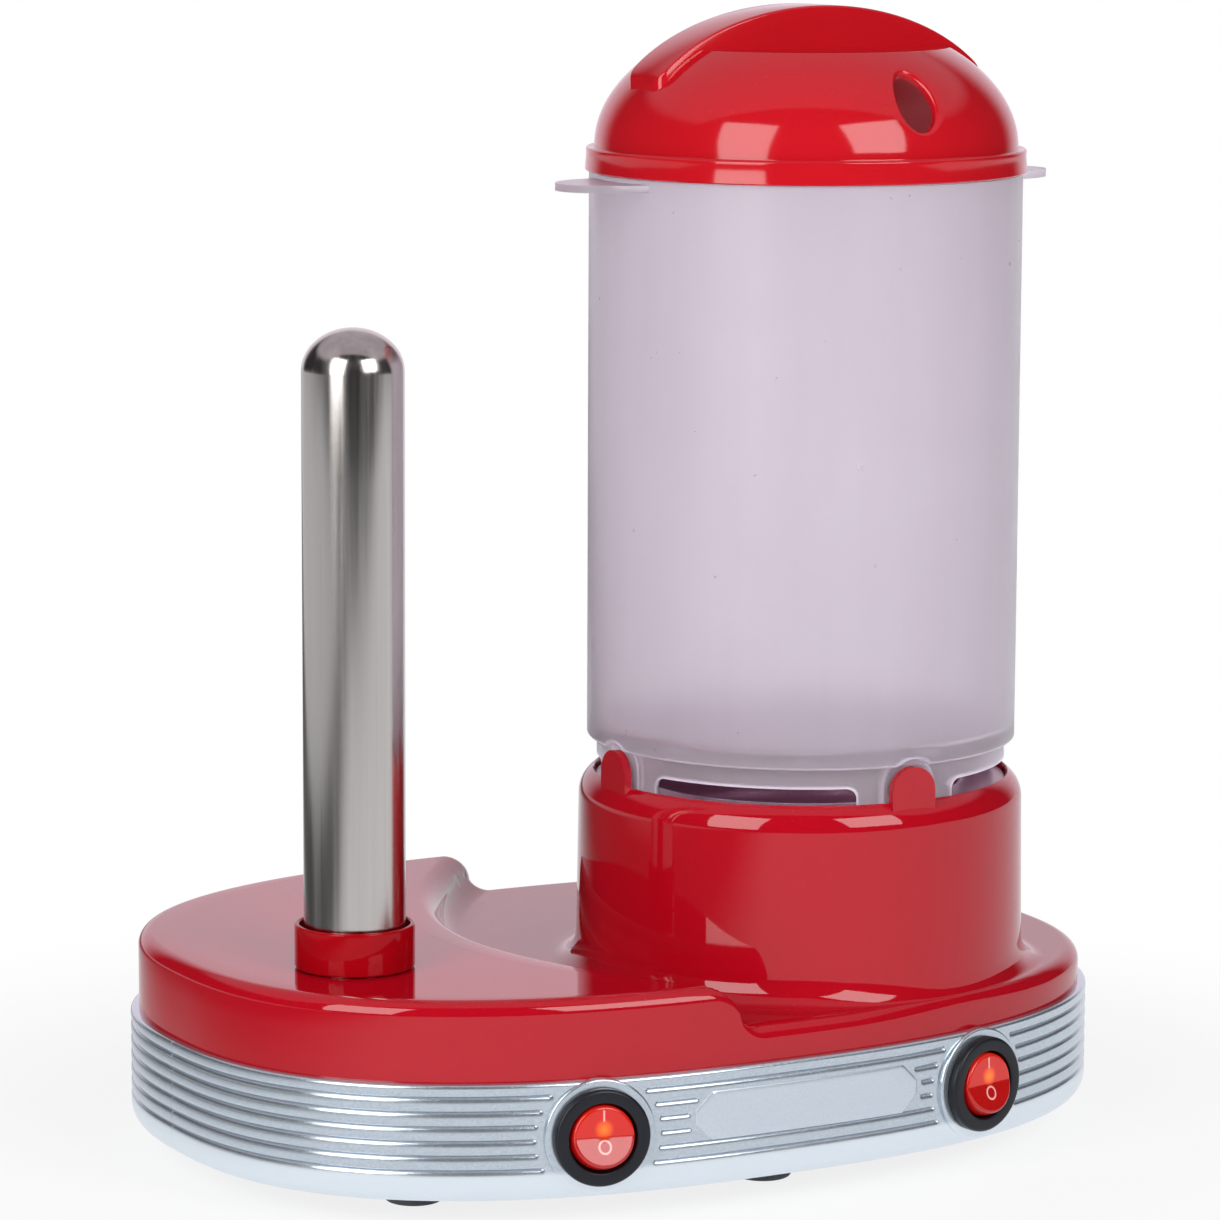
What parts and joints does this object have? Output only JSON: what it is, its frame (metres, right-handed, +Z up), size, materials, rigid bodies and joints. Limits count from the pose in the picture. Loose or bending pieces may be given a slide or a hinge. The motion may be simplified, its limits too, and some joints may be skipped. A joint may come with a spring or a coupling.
{
  "type": "hot dog maker",
  "caption": "Countertop hot dog maker: oval two-level base with a heated bun spike and a lidded steam container on a round pedestal.",
  "frame": {"origin": "on the surface the feet stand on, under the middle of the oval base", "axes": "+X along the base from the bun spike to the steamer, +Y to the rear, away from the switches, +Z up"},
  "size_m": [0.2408, 0.1743, 0.2774],
  "materials": {
    "black_plastic": "black moulded plastic, semi-gloss",
    "blue_wire_sleeve": "blue wire insulation",
    "brown_wire_sleeve": "brown wire insulation",
    "ceramic": "cream ceramic, matt",
    "grey_base_plastic": "grey moulded plastic",
    "grey_rubber": "dark grey rubber",
    "heater_sheath": "grey steel heater sheath",
    "milky_plastic": "milky translucent plastic",
    "nonstick_coating": "dark glossy non-stick coating on pressed metal",
    "polished_steel": "polished stainless steel",
    "red_collar_plastic": "gloss moulded plastic, red",
    "red_gloss_plastic": "high-gloss moulded plastic, deep red",
    "red_lid_plastic": "high-gloss moulded plastic, deep red",
    "red_rocker_plastic": "red translucent plastic",
    "silver_paint": "satin silver paint on plastic",
    "tin_plated_brass": "tin-plated brass",
    "white_block_plastic": "off-white insulating plastic",
    "white_glass_sleeve": "white woven glass sleeve",
    "zinc_plated_steel": "zinc-plated steel"
  },
  "bodies": {
    "base": {"base_housing": "silver_paint", "base_plate": "grey_base_plastic", "base_screw_1": "zinc_plated_steel", "base_screw_2": "zinc_plated_steel", "base_screw_3": "zinc_plated_steel", "base_screw_4": "zinc_plated_steel", "cord_gland": "black_plastic", "foot_1": "grey_rubber", "foot_2": "grey_rubber", "foot_3": "grey_rubber", "foot_4": "grey_rubber", "foot_5": "grey_rubber", "foot_6": "grey_rubber", "heating_pan": "nonstick_coating", "pan_bar": "zinc_plated_steel", "pan_nut": "zinc_plated_steel", "ring_heater": "heater_sheath", "spike_collar": "red_collar_plastic", "spike_heater_rod": "heater_sheath", "spike_insulator_lower": "ceramic", "spike_insulator_upper": "ceramic", "spike_screw_1": "zinc_plated_steel", "spike_screw_2": "zinc_plated_steel", "spike_screw_3": "zinc_plated_steel", "spike_tube": "polished_steel", "switch_body_left": "black_plastic", "switch_body_right": "black_plastic", "switch_tab_left_1": "tin_plated_brass", "switch_tab_left_2": "tin_plated_brass", "switch_tab_left_3": "tin_plated_brass", "switch_tab_right_1": "tin_plated_brass", "switch_tab_right_2": "tin_plated_brass", "switch_tab_right_3": "tin_plated_brass", "terminal_block": "white_block_plastic", "thermal_fuse": "white_glass_sleeve", "thermostat": "black_plastic", "top_cover": "red_gloss_plastic", "wire_left_switch": "brown_wire_sleeve", "wire_right_switch": "blue_wire_sleeve", "wire_spike": "white_glass_sleeve"},
    "rocker_left": {"rocker_left": "red_rocker_plastic"},
    "rocker_right": {"rocker_right": "red_rocker_plastic"},
    "container": {"steam_container": "milky_plastic"},
    "lid": {"lid": "red_lid_plastic"}
  },
  "joints": [
    {"name": "rocker_left_tilt", "type": "hinge", "parent": "base", "child": "rocker_left", "pos_m": [-0.04949, -0.08306, 0.0222], "axis": [0.979, -0.2037, 0], "range_deg": [0, 20]},
    {"name": "rocker_right_tilt", "type": "hinge", "parent": "base", "child": "rocker_right", "pos_m": [0.0553, -0.08173, 0.0222], "axis": [0.97, 0.2432, 0], "range_deg": [0, 20]},
    {"name": "container_lift", "type": "slide", "parent": "base", "child": "container", "axis": [0, 0, 1], "range_m": [0, 0.12]},
    {"name": "lid_lift", "type": "slide", "parent": "container", "child": "lid", "axis": [0, 0, 1], "range_m": [0, 0.1]}
  ]
}
